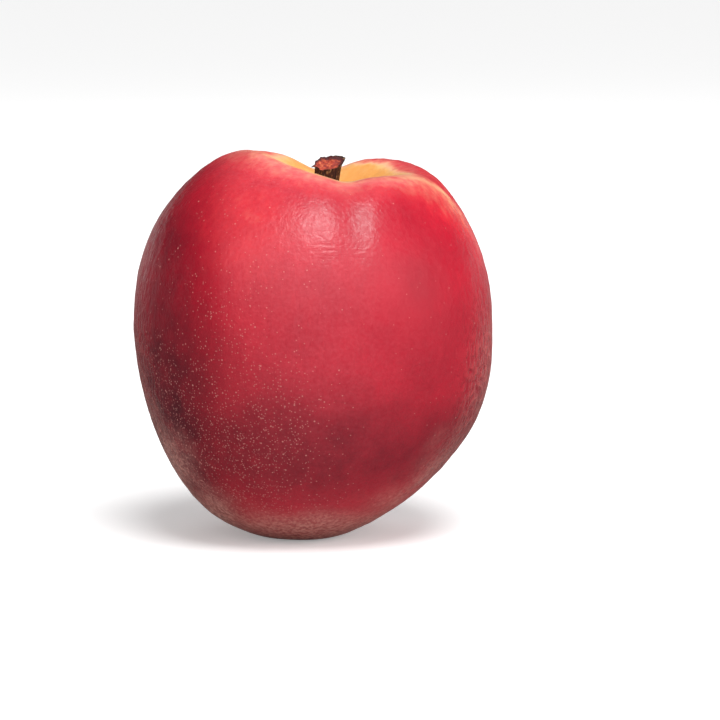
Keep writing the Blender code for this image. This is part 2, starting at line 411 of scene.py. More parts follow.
class NodeWriter:
    """Adds nodes to one node tree and joins them."""

    def __init__(self, tree: bpy.types.NodeTree) -> None:
        """Starts on a material's or a group's node tree."""
        self.tree = tree

    def add(self, kind: str, **settings: object) -> bpy.types.Node:
        """A new node.

        Args:
            kind: The node's type name.
            **settings: Properties to set on it.

        Returns:
            The node.
        """
        node = self.tree.nodes.new(kind)
        for name, value in settings.items():
            setattr(node, name, value)
        return node

    def feed(self, target: Socket, value: object) -> None:
        """Links a socket to an input, or sets the input to a constant.

        Args:
            target: The input socket.
            value: An output socket, a number or a colour.
        """
        if isinstance(value, bpy.types.NodeSocket):
            self.tree.links.new(value, target)
        else:
            target.default_value = value

    def made(self, kind: str, output: object, inputs: dict, **settings: object) -> Socket:
        """A new node with its inputs fed.

        Args:
            kind: The node's type name.
            output: The name or the number of the output that is wanted.
            inputs: What feeds each input, by its name or its number.
            **settings: Properties to set on it.

        Returns:
            The output.
        """
        node = self.add(kind, **settings)
        for name, value in inputs.items():
            self.feed(node.inputs[name], value)
        return node.outputs[output]

    def maths(self, operation: str, first: object, second: object) -> Socket:
        """One sum of two numbers, by its name, such as MULTIPLY."""
        return self.made("ShaderNodeMath", 0, {0: first, 1: second}, operation=operation)

    def times(self, first: object, second: object) -> Socket:
        """One number times another."""
        return self.maths("MULTIPLY", first, second)

    def plus(self, first: object, second: object) -> Socket:
        """One number and another."""
        return self.maths("ADD", first, second)

    def less(self, first: object, second: object) -> Socket:
        """One number less another."""
        return self.maths("SUBTRACT", first, second)

    def larger(self, first: object, second: object) -> Socket:
        """The larger of two numbers."""
        return self.maths("MAXIMUM", first, second)

    def span(self, value: object, low: object, high: object) -> Socket:
        """A value's place between two others, eased at its ends and held from 0 to 1."""
        inputs = {"Value": value, "From Min": low, "From Max": high}
        return self.made("ShaderNodeMapRange", "Result", inputs, interpolation_type="SMOOTHSTEP")

    def mix(self, share: object, first: object, second: object) -> Socket:
        """Two colours mixed, with a share of the second."""
        inputs = {"Factor": share, 6: first, 7: second}
        return self.made("ShaderNodeMix", 2, inputs, data_type="RGBA")

    def ramp(self, value: object, stops: Sequence[tuple[float, Colour]]) -> Socket:
        """A colour ramp.

        Args:
            value: The value that the ramp turns into a colour.
            stops: The places and colours of the ramp.

        Returns:
            The colour.
        """
        node = self.add("ShaderNodeValToRGB")
        elements = node.color_ramp.elements
        while len(elements) < len(stops):
            elements.new(0.5)
        for element, (place, colour) in zip(elements, stops):
            element.position = place
            element.color = colour
        self.feed(node.inputs["Fac"], value)
        return node.outputs["Color"]

    def value(self, name: Attribute) -> Socket:
        """A number that the mesh carries."""
        return self.made("ShaderNodeAttribute", "Fac", {}, attribute_name=name.value)

    @cached_property
    def places(self) -> Socket:
        """The places on the object."""
        return self.made("ShaderNodeTexCoord", "Object", {})

    @cached_property
    def grain(self) -> Socket:
        """The places along the piece's own grain, which its mesh carries."""
        return self.made("ShaderNodeAttribute", "Vector", {}, attribute_name=Attribute.GRAIN.value)

    def stretched(self, places: Socket, scale: Sequence[float]) -> Socket:
        """Places multiplied by a scale along each axis."""
        return self.made("ShaderNodeMapping", "Vector", {"Vector": places, "Scale": scale})

    def group(self, shared: str, **inputs: object) -> Socket:
        """A shared group, by its name, with its own values."""
        return self.made("ShaderNodeGroup", 0, inputs, node_tree=bpy.data.node_groups[shared])

    def mottled(self, places: Socket, patches: Patches) -> Socket:
        """A mask of cloudy patches, from 0 to 1."""
        size, detail, low, high = astuple(patches)
        return self.group("mottle", Vector=places, Size=size, Detail=detail, Low=low, High=high)

    def bumped(self, heights: Sequence[tuple[Socket, float, float]]) -> Socket:
        """Bumps laid one on another.

        Args:
            heights: Each bump's height, its strength and the metres that a height of 1 stands for.

        Returns:
            The normal.
        """
        below = {}
        for height, strength, metres in heights:
            inputs = {"Height": height, "Strength": strength, "Distance": metres}
            below = {"Normal": self.made("ShaderNodeBump", "Normal", inputs | below)}
        return below["Normal"]


def new_group(name: str, inputs: dict[str, float]) -> tuple[NodeWriter, object, Socket]:
    """An empty shader group that turns a Vector and some numbers into a Mask.

    Args:
        name: The group's name.
        inputs: The numbers' names and usual values.

    Returns:
        The writer of its nodes, what it is given, and the mask's socket to feed.
    """
    tree = bpy.data.node_groups.new(name, "ShaderNodeTree")
    tree.interface.new_socket("Vector", in_out="INPUT", socket_type="NodeSocketVector")
    for title, value in inputs.items():
        socket = tree.interface.new_socket(title, in_out="INPUT", socket_type="NodeSocketFloat")
        socket.default_value = value
    tree.interface.new_socket("Mask", in_out="OUTPUT", socket_type="NodeSocketFloat")
    writer = NodeWriter(tree)
    given = writer.add("NodeGroupInput").outputs
    return writer, given, writer.add("NodeGroupOutput").inputs["Mask"]


def mottle_group() -> None:
    """Makes the group of cloudy patches that the skin and the stalk both wear."""
    writer, given, mask = new_group("mottle", {"Size": 1.0, "Detail": 2.0, "Low": 0.4, "High": 0.6})
    scale = writer.maths("DIVIDE", 1.0, given["Size"])
    inputs = {"Vector": given["Vector"], "Scale": scale, "Detail": given["Detail"]}
    patches = writer.made("ShaderNodeTexNoise", "Fac", inputs, noise_dimensions="3D")
    writer.feed(mask, writer.span(patches, given["Low"], given["High"]))


def dots_group() -> None:
    """Makes the group of round dots that the small and the large pores both use."""
    writer, given, mask = new_group("dots", {"Spacing": 1.0 * MM, "Dot": 0.15, "Share": 0.5})
    cells = writer.add("ShaderNodeTexVoronoi", feature="F1")
    writer.feed(cells.inputs["Vector"], given["Vector"])
    writer.feed(cells.inputs["Scale"], writer.maths("DIVIDE", 1.0, given["Spacing"]))
    drawn = writer.add("ShaderNodeSeparateColor")
    writer.feed(drawn.inputs[0], cells.outputs["Color"])
    size = writer.times(given["Dot"], writer.plus(0.5, writer.times(drawn.outputs[1], 0.5)))
    round_dot = writer.span(cells.outputs["Distance"], size, writer.times(size, 0.45))
    kept = writer.maths("LESS_THAN", drawn.outputs[0], given["Share"])
    writer.feed(mask, writer.times(round_dot, kept))


def new_material(name: str) -> tuple[bpy.types.Material, object]:
    """A new material.

    Args:
        name: The material's name.

    Returns:
        The material and its main shader's inputs.
    """
    material = bpy.data.materials.new(name)
    material.use_nodes = True
    return material, material.node_tree.nodes["Principled BSDF"].inputs


def in_scene(name: str, data: object) -> bpy.types.Object:
    """A new object in the scene.

    Args:
        name: The object's name.
        data: The mesh, light or camera that it holds.

    Returns:
        The object.
    """
    thing = bpy.data.objects.new(name, data)
    bpy.context.scene.collection.objects.link(thing)
    return thing


@dataclass(frozen=True)
class SkinFinish:
    """Waxy skin: a crimson blush over a yellow-orange ground, with pale pores."""

    blush: tuple[tuple[float, Colour], ...] = (
        (0.00, (0.47, 0.006, 0.023, 1.0)),
        (0.20, (0.56, 0.009, 0.027, 1.0)),
        (0.36, (0.70, 0.024, 0.038, 1.0)),
        (0.50, (0.80, 0.135, 0.105, 1.0)),
        (0.62, (0.88, 0.270, 0.160, 1.0)),
        (0.80, (0.94, 0.490, 0.260, 1.0)),
        (0.92, (0.92, 0.500, 0.180, 1.0)),
        (1.00, (0.90, 0.420, 0.110, 1.0)),
    )
    # maroon of the painted shade, on the skin and in its hollows
    maroon_and_painted_shade: Colour = (0.075, 0.003, 0.010, 1.0)
    # pink of the flecks and of the painted sheen over the middle and the lip
    pink_and_painted_sheen: Colour = (0.76, 0.125, 0.160, 1.0)
    # pale pores, partly painted glints
    pore: Colour = (0.76, 0.330, 0.290, 1.0)
    # russet brown, also painted reflection on the tip and the rims and a painted highlight on the
    # ridges
    brown_and_painted_light: Colour = (0.68, 0.320, 0.265, 1.0)
    roughness: tuple[float, float] = (0.31, 0.43)
    gloss: float = 0.43
    sheen: float = 0.12
    sheen_roughness: float = 0.2
    sheen_tint: Colour = (1.0, 0.80, 0.76, 1.0)
    streaks: Patches = Patches(1.4 * MM, 4.0, 0.25, 0.75)
    blotches: Patches = Patches(3.2 * MM, 5.0, 0.25, 0.75)
    flecks: Patches = Patches(0.66 * MM, 5.0, 0.28, 0.88)
    shades: Patches = Patches(8.0 * MM, 6.0)
    ridges: Patches = Patches(0.95 * MM, 5.0, 0.32, 0.66)
    pebbles: Patches = Patches(0.75 * MM, 4.0, 0.34, 0.66)
    gleams: Patches = Patches(1.2 * MM, 3.0)
    dimples: Patches = Patches(0.8 * MM, 3.0, 0.2, 0.8)
    wrinkles: Patches = Patches(0.7 * MM, 2.0, 0.2, 0.8)
    creases: Patches = Patches(0.75 * MM, 2.5, 0.3, 0.6)
    ridge_scale: tuple[float, float, float] = (1.0, 1.0, 2.8)
    crease_scale: tuple[float, float, float] = (0.22, 0.22, 1.0)
    # how far apart pores stand, and how much of that a pore spans
    small_pores: tuple[float, float] = (0.50 * MM, 0.42)
    large_pores: tuple[float, float] = (0.92 * MM, 0.27)
    # strength and height of the wrinkles, the ridges, the creases and the dimples
    bumps: tuple[tuple[float, float], ...] = (
        (0.45, 0.05 * MM),
        (1.0, 0.42 * MM),
        (0.8, 0.05 * MM),
        (0.75, 0.05 * MM),
    )

    def make(self) -> bpy.types.Material:
        """The material.

        Returns:
            A new material.
        """
        material, shader = new_material("nectarine_skin")
        writer = SkinWriter(material.node_tree, self)
        for effect in (writer.pink_and_painted_sheen, writer.shade, writer.lay_brown_and_painted_light, writer.pore):
            effect()
        writer.feed(shader["Base Color"], writer.red)
        low, high = self.roughness
        gleams = writer.mottled(writer.places, self.gleams)
        writer.feed(shader["Roughness"], writer.plus(low, writer.times(gleams, high - low)))
        writer.feed(shader["Normal"], writer.unevenness())
        shader["Specular IOR Level"].default_value = self.gloss
        shader["Sheen Weight"].default_value = self.sheen
        shader["Sheen Roughness"].default_value = self.sheen_roughness
        shader["Sheen Tint"].default_value = self.sheen_tint
        return material


class SkinWriter(NodeWriter):
    """Writes the nodes of the skin's finish, each effect over the one before."""

    def __init__(self, tree: bpy.types.NodeTree, finish: SkinFinish) -> None:
        """Adds what several effects share.

        Args:
            tree: The material's node tree.
            finish: The colours and the patches to use.
        """
        super().__init__(tree)
        self.finish = finish
        self.bare = self.value(Attribute.BARE)
        self.maroon_and_painted_shade = self.value(Attribute.MAROON_AND_PAINTED_SHADE)
        self.wrinkled = self.value(Attribute.WRINKLED)
        self.blotches = self.mottled(self.places, finish.blotches)
        short = self.stretched(self.grain, finish.ridge_scale)
        self.ridges = self.mottled(short, finish.ridges)
        self.red = self.ground()

    def ground(self) -> Socket:
        """The blush over its yellow ground, with a streaky and cloudy border between them.

        Returns:
            The colour.
        """
        streaks = self.mottled(self.grain, self.finish.streaks)
        ragged = self.times(self.less(streaks, 0.5), 0.14)
        cloudy = self.times(self.less(self.blotches, 0.5), 0.10)
        near_border = self.plus(0.6, self.times(self.span(self.bare, 0.3, 0.5), 0.4))
        near_border = self.less(near_border, self.times(self.span(self.bare, 0.6, 0.9), 0.6))
        uneven = self.times(self.plus(ragged, cloudy), near_border)
        return self.ramp(self.plus(self.bare, uneven), self.finish.blush)

    def pink_and_painted_sheen(self) -> None:
        """Lays fine pink flecks over the colour, and a painted pink sheen over the middle and the lip.
        """
        flecks = self.mottled(self.places, self.finish.flecks)
        softened = self.plus(0.30, self.times(flecks, 0.40))
        haze = self.times(softened, self.value(Attribute.PINKNESS_AND_PAINTED_SHEEN))
        self.red = self.mix(haze, self.red, self.finish.pink_and_painted_sheen)

    def shade(self) -> None:
        """Lays maroon over the colour: mostly painted shade, with random darker patches."""
        shades = self.mottled(self.places, self.finish.shades)
        patchy = self.plus(0.86, self.times(self.blotches, 0.28))
        faint = self.times(self.less(1.0, self.span(self.bare, 0.35, 0.5)), 0.11)
        # the painted shade that the mesh carries, with random maroon patches away from the bare ground
        deep = self.plus(self.times(self.maroon_and_painted_shade, patchy), self.times(shades, faint))
        self.red = self.mix(deep, self.red, self.finish.maroon_and_painted_shade)

    def lay_brown_and_painted_light(self) -> None:
        """Lays russet with painted reflection on the tip and flanks, a painted highlight on the raised
        ridges, and painted shade in the gaps and hollows.
        """
        brown_and_painted_reflection = self.value(Attribute.BROWN_AND_PAINTED_REFLECTION)
        pebbles = self.mottled(self.places, self.finish.pebbles)
        creviced = self.times(self.wrinkled, self.wrinkled)
        # painted highlight on the tops of the ridges
        painted_ridge_highlight = self.times(self.times(self.ridges, creviced), 0.30)
        pebbled = self.plus(0.55, self.times(pebbles, 0.60))
        brown_and_painted_light = self.larger(self.times(brown_and_painted_reflection, pebbled), painted_ridge_highlight)
        self.red = self.mix(brown_and_painted_light, self.red, self.finish.brown_and_painted_light)
        # painted shade in the gaps between the ridges and in the hollows between the pebbles
        gaps = self.times(self.less(1.0, self.ridges), self.wrinkled)
        hollows = self.times(self.less(1.0, pebbles), brown_and_painted_reflection)
        painted_hollow_shade = self.times(self.larger(gaps, hollows), 0.40)
        self.red = self.mix(painted_hollow_shade, self.red, self.finish.maroon_and_painted_shade)

    def pore(self) -> None:
        """Lays pale pores over the colour, stronger where the painted shade lies, partly as painted
        glints.
        """
        share = self.value(Attribute.SPECKLE)
        space, dot = self.finish.small_pores
        small = self.group("dots", Vector=self.places, Spacing=space, Dot=dot, Share=share)
        share = self.times(share, 0.8)
        space, dot = self.finish.large_pores
        large = self.group("dots", Vector=self.places, Spacing=space, Dot=dot, Share=share)
        pores = self.larger(self.times(small, 0.75), large)
        # pores drawn stronger in the painted shade, as painted glints
        painted_glint_share = self.plus(0.42, self.times(self.maroon_and_painted_shade, 0.32))
        self.red = self.mix(self.times(pores, painted_glint_share), self.red, self.finish.pore)

    def unevenness(self) -> Socket:
        """The skin's wrinkles, ridges, creases and dimples.

        Returns:
            The normal.
        """
        finish = self.finish
        creases = self.mottled(self.stretched(self.places, finish.crease_scale), finish.creases)
        heights = (
            self.mottled(self.grain, finish.wrinkles),
            self.times(self.ridges, self.wrinkled),
            self.times(creases, self.value(Attribute.CREASED)),
            self.mottled(self.places, finish.dimples),
        )
        return self.bumped([(height, *bump) for height, bump in zip(heights, finish.bumps)])


@dataclass(frozen=True)
class StalkFinish:
    """Dry split wood: dark bark and a broken face of orange-brown fibre."""

    bark: tuple[tuple[float, Colour], ...] = (
        (0.00, (0.014, 0.005, 0.005, 1.0)),
        (0.45, (0.045, 0.014, 0.010, 1.0)),
        (0.80, (0.120, 0.050, 0.022, 1.0)),
        (1.00, (0.270, 0.150, 0.070, 1.0)),
    )
    fibre: tuple[tuple[float, Colour], ...] = (
        (0.00, (0.100, 0.007, 0.007, 1.0)),
        (0.36, (0.330, 0.030, 0.018, 1.0)),
        (0.62, (0.480, 0.062, 0.026, 1.0)),
        (1.00, (0.740, 0.220, 0.100, 1.0)),
    )
    rim: Colour = (0.070, 0.008, 0.010, 1.0)
    lines: Patches = Patches(0.28 * MM, 4.0)
    lumps: Patches = Patches(0.7 * MM, 4.0)
    bump_height: float = 0.10 * MM
    gloss: float = 0.3

    def make(self) -> bpy.types.Material:
        """The material.

        Returns:
            A new material.
        """
        material, shader = new_material("stalk_wood")
        writer = NodeWriter(material.node_tree)
        lines = writer.mottled(writer.grain, self.lines)
        lumps = writer.mottled(writer.places, self.lumps)
        broken = writer.value(Attribute.BROKEN)
        depth = writer.times(writer.plus(lines, lumps), 0.5)
        inner = writer.span(writer.plus(broken, writer.times(lumps, 0.2)), 0.4, 1.0)
        face = writer.mix(inner, self.rim, writer.ramp(depth, self.fibre))
        bark = writer.ramp(writer.times(lines, writer.plus(0.4, lumps)), self.bark)
        writer.feed(shader["Base Color"], writer.mix(writer.span(broken, 0.02, 0.12), bark, face))
        writer.feed(shader["Roughness"], writer.plus(0.45, writer.times(lumps, 0.3)))
        bumps = ((lines, 0.7, self.bump_height), (lumps, 0.6, self.bump_height))
        writer.feed(shader["Normal"], writer.bumped(bumps))
        shader["Specular IOR Level"].default_value = self.gloss
        return material


@dataclass(frozen=True)
class Spot:
    """A soft patch on the skin, placed as seen from the front, with its lengths in millimetres."""

    x: float
    z: float
    reach: float
    strength: float
    squash: float = 1.0

    def over(self, x: Array, z: Array) -> Array:
        """How strong the patch is at each place."""
        away = np.hypot(x - self.x, self.squash * (z - self.z))
        return self.strength * bell(away, self.reach)


@dataclass
class Markings:
    """Where the skin's colours change, for each vertex.

    The places it is given are in metres, and the lengths it works with are in millimetres.
    """

    mesh: bpy.types.Mesh
    own: Array
    azimuth: Array
    points: Array
    # heading from the suture in degrees, reach of the bare ground, and how softly it ends
    bare_edge: tuple[tuple[float, float, float], ...] = (
        (-180.0, 21.0, 6.0),
        (-158.0, 18.5, 4.5),
        (-138.0, 16.4, 3.0),
        (-110.0, 15.8, 2.6),
        (-80.0, 15.8, 2.4),
        (-66.0, 16.3, 2.4),
        (-48.0, 15.8, 2.4),
        (-30.0, 16.2, 2.2),
        (-20.0, 17.4, 2.0),
        (0.0, 17.5, 2.0),
        (21.0, 17.2, 2.0),
        (30.0, 18.0, 2.0),
        (39.0, 19.4, 1.9),
        (46.0, 20.8, 1.8),
        (51.0, 21.9, 1.8),
        (57.0, 23.3, 1.6),
        (63.0, 24.8, 1.5),
        (68.0, 26.4, 1.5),
        (80.0, 26.0, 2.0),
        (110.0, 20.0, 2.4),
        (126.0, 16.0, 1.8),
        (140.0, 16.2, 2.2),
        (160.0, 20.5, 5.0),
    )
    # the red patch starts this far right of the axis, behind a line with this place and slope
    blushed_from: float = 15.0
    blushed_front: tuple[float, float] = (-10.2, 0.23)
    # a brighter red high on the front-left, partly painted light from above
    red_and_painted_top_light: Spot = Spot(-10, 65, 14, 0.35, 0.8)
    # maroon patches on the right and below the highlights, painted shade
    maroon_spots_and_painted_shade: tuple[Spot, ...] = (
        Spot(27, 36, 12, 0.22, 0.8),
        Spot(24, 53, 6, 0.21, 0.8),
        Spot(4, 50, 9, 0.13),
    )
    # a faint painted shade high on the front
    crown: Spot = Spot(-4, 57, 7, 0.11)
    pored: Spot = Spot(-14, 48, 8, 0.34, 0.7)

    def __post_init__(self) -> None:
        """Works out the places and the waves that several markings share."""
        self.x, self.y, self.z = self.points.T / MM
        self.own_x, self.own_y, self.own_z = self.own.T / MM
        self.radius = np.hypot(self.own_x, self.own_y)
        self.wander = clouds(self.points, 9.0 * MM, 3, 23.0)
        self.ripple = clouds(self.points, 3.0 * MM, 2, 41.0)
        self.in_front = eased(-self.y / 10)
        self.on_top = eased((self.own_z - 6) / 12)
        self.left = self.left_maroon_and_painted_shade()

    def make(self) -> None:
        """Stores every marking on the skin's mesh."""
        store(self.mesh, Attribute.BARE, self.bare())
        store(self.mesh, Attribute.BROWN_AND_PAINTED_REFLECTION, self.brown_and_painted_reflection())
        store(self.mesh, Attribute.MAROON_AND_PAINTED_SHADE, self.maroon_and_painted_shade())
        store(self.mesh, Attribute.SPECKLE, self.speckle())
        store(self.mesh, Attribute.PINKNESS_AND_PAINTED_SHEEN, self.pinkness_and_painted_sheen())
        store(self.mesh, Attribute.CREASED, self.creased())
        store(self.mesh, Attribute.WRINKLED, self.wrinkled())

    def blushed(self) -> Array:
        """The red patch on the far side of the right shoulder, within the bare ground.

        Returns:
            How red each place is, from 0 to 1.
        """
        x, y, ripple = self.own_x, self.own_y, self.ripple
        front, slope = self.blushed_front
        inner = eased((x - self.blushed_from + 0.15 * y + 0.7 * ripple) / 6.5 + 0.5)
        near = eased((y - front - slope * (x - 16) + 0.5 * ripple) / 3.0 + 0.5)
        return inner * near

    def bare(self) -> Array:
        """How far the blush thins: wholly in the cavity, less in a halo round it, and into a brighter
        red high on the front-left that is partly painted light from above.

        Returns:
            The share of bare ground, from 0 to 1.
        """
        x, y, radius = self.x, self.y, self.radius
        behind = 0.5 - 0.5 * np.cos(self.azimuth)
        headings, reaches, fades = np.array(self.bare_edge).T
        edge = np.interp(np.degrees(self.azimuth), headings, reaches, period=360)
        fade = np.interp(np.degrees(self.azimuth), headings, fades, period=360)
        edge = edge + (0.5 + 1.2 * behind) * self.wander + (0.5 + 0.5 * behind) * self.ripple
        beyond = radius - edge
        blushed = self.blushed()
        bare = eased((fade - beyond) / (2 * fade)) * (1 - blushed)
        cream = 0.30 * eased((x - 8) / 8) * eased((-y - 4) / 6)
        cream = cream + 0.18 * eased((-x - 1) / 6)
        bare = bare * (1 - cream * eased((radius - 9) / 5))
        bare = bare * (1 - 0.7 * eased((radius - 23.5) / 3) * eased(x / 6))
        halo = 0.38 * eased((9.5 - beyond) / 6) + 0.18 * eased((4.5 - beyond) / 5)
        halo = halo * (1 - 0.35 * blushed)
        # brighter red high on the front-left, partly painted light from above
        red_and_painted_top_light = self.red_and_painted_top_light.over(x, self.z) * eased(-y / 12)
        return np.maximum.reduce((bare * self.on_top, halo * self.on_top, red_and_painted_top_light))

    def brown_and_painted_reflection(self) -> Array:
        """The russet of the tip and of both flanks, with the painted reflection of the floor on the tip
        and a painted rim reflection along both flanks.

        Returns:
            How worn each place is, from 0 to 1.
        """
        x, y, z, wander = self.x, self.y, self.z, self.wander
        # russet with the painted reflection of the floor, at the tip
        tip = 0.66 * eased((10 - z + 0.7 * wander) / 7)
        flank = eased((y + 22 + 2 * wander - 9 * eased((z - 20) / 20)) / 13)
        flank = flank * (1 - 0.85 * eased((y + 2 - 3 * wander) / 18))
        flank = flank * eased((70 - z) / 16) * (0.85 + 0.5 * wander)
        # pale painted rim reflection along the left and right flanks, over a little russet
        left = 0.78 * eased(-x / 12) * (0.2 + 0.8 * eased((42 - z) / 22))
        right = 0.44 * eased(x / 12) * (0.1 + 0.9 * eased((54 - z) / 20))
        return np.maximum.reduce((tip, left * flank, right * flank))

    def left_maroon_and_painted_shade(self) -> Array:
        """The maroon of the left side, deeper towards the tip: painted shade of the side that the lamps
        leave dim.

        Returns:
            How dusky each place is, from 0 to 1.
        """
        x, z = self.x, self.z
        side = -9 + eased((50 - z) / 17) + 3 * eased((33 - z) / 17)
        left = 0.63 + 0.16 * eased((46 - z) / 15)
        left = left * eased((side + 0.3 * self.wander - x) / 18)
        return left * (1 - 0.45 * eased((-x - 27) / 5)) * (1 - 0.15 * eased((z - 60) / 8))

    def maroon_and_painted_shade(self) -> Array:
        """The maroon of the whole fruit, most of it painted shade: the left side, the lower front, the
        lit lip, the suture's groove and a few patches.

        Returns:
            How dusky each place is, from 0 to 1.
        """
        x, z, radius = self.x, self.z, self.radius
        # painted shade of the lower front, fading out near the tip
        low = 0.49 * eased((39.5 - z + 2 * self.wander) / 18)
        low = low * (1 - 0.80 * eased((18 - z) / 11))
        # painted shade on the brightly lit front of the lip, right of the stalk
        lip = 0.16 * bell(radius - 22, 6) * eased((x + 2) / 8)
        # painted shade in the suture's groove between the two highlights
        seam = 0.17 * bell(self.own_x - 1.6, 4.0) * eased((self.own_z - 18) / 8)
        seam = seam * eased((radius - 17) / 4)
        before = np.maximum.reduce((lip, seam, self.crown.over(x, z))) * self.in_front
        # the maroon patches, painted shade
        spots = [spot.over(x, z) for spot in self.maroon_spots_and_painted_shade]
        return np.clip(np.maximum.reduce((self.left, low, before, *spots)), 0.0, 0.86)

    def speckle(self) -> Array:
        """How dense the pores are: most on the lower left, none in the cavity.

        Returns:
            The share of places with a pore.
        """
        x, z = self.x, self.z
        below = eased((48 - z) / 22) * eased((14 - x) / 24)
        dense = (self.pored.over(x, z) + 1.1 * below**1.4) * (0.8 + 0.8 * self.wander)
        share = np.clip(0.02 + 0.05 * eased((12 - x) / 30) + dense, 0.0, 1.0)
        return share * (1 - self.on_top * eased((24 - self.radius) / 6))

    def pinkness_and_painted_sheen(self) -> Array:
        """How far the pink flecks and the painted pink sheen show: most in the middle and on the lip,
        least on the left.

        Returns:
            The haze at each place, from 0 to 1.
        """
        x, z = self.x, self.z
        upper = 0.30 * eased((z - 46) / 20) * eased((16 - x) / 30)
        # painted pink sheen over the middle of the front
        middle = 0.40 * bell(x - 3, 16) * eased((z - 8) / 16) * eased((70 - z) / 14)
        # painted pink sheen along the lit front of the lip
        lip = 0.35 * bell(self.radius - 21, 4.5) * bell(x - 6, 16) * self.in_front
        haze = (0.05 + upper + middle + lip) * (1 - self.left)
        return haze * (1 - 0.85 * eased((-x - 13) / 6))

    def creased(self) -> Array:
        """The fine creases high on the front."""
        return bell(np.hypot((self.x - 6.5) / 1.9, self.z - 59.5), 3.4) * self.in_front

    def wrinkled(self) -> Array:
        """The wrinkles of both flanks, outside the cavity.

        Returns:
            How wrinkled each place is, from 0 to 1.
        """
        heading = np.abs(np.arctan2(self.x, -self.y))
        beside = eased((heading - 0.85) / 0.5) * eased((self.radius - 22) / 7)
        beside = beside * (1 - 0.7 * eased((heading - 1.6) / 0.5))
        return beside * (0.25 + 0.75 * eased((54 - self.z) / 22))


@dataclass
class Fruit:
    """The whole fruit with its fine skin."""

    form: FruitForm
    relief: SkinRelief
    finish: SkinFinish
    cuts: int = 119
    grain_stretch: float = 0.22

    def build(self) -> bpy.types.Object:
        """Builds the skin, dresses it and lets it stand in for the solid.

        Returns:
            The skin's object.
        """
        body = bmesh.new()
        bmesh.ops.create_cube(body, size=2)
        bmesh.ops.subdivide_edges(body, edges=body.edges, cuts=self.cuts, use_grid_fill=True)
        mesh = bpy.data.meshes.new("nectarine_skin")
        body.to_mesh(mesh)
        body.free()
        cube = np.tan(coordinates(mesh) * math.pi / 4)
        directions = cube / np.linalg.norm(cube, axis=1, keepdims=True)
        polar, azimuth = self.form.polar_of(directions)
        own = self.form.own_points(polar, azimuth)
        points = self.form.standing(own)
        move_to(mesh, points)
        grain = self.grain(polar, azimuth)
        normals = np.empty(len(points) * 3, np.float32)
        mesh.vertex_normals.foreach_get("vector", normals)
        depth = self.relief.depth(points, grain, own)
        move_to(mesh, points - normals.reshape(-1, 3) * depth[:, None])
        mesh.shade_smooth()
        store(mesh, Attribute.GRAIN, grain)
        Markings(mesh, own, azimuth, points).make()
        mesh.materials.append(self.finish.make())
        skin = in_scene("nectarine_skin", mesh)
        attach(skin, "root")
        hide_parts("fruit")
        return skin

    def grain(self, polar: Array, azimuth: Array) -> Array:
        """Places in lengths round and along the fruit, drawn out along it for streaks.

        Args:
            polar: Angles from the stalk end.
            azimuth: Headings from the suture.

        Returns:
            Rows of three lengths.
        """
        reach = self.form.cheek_radius * np.sin(polar) ** 0.7
        along = self.form.cheek_radius * polar * self.grain_stretch
        return np.stack((reach * np.sin(azimuth), reach * np.cos(azimuth), along), axis=1)


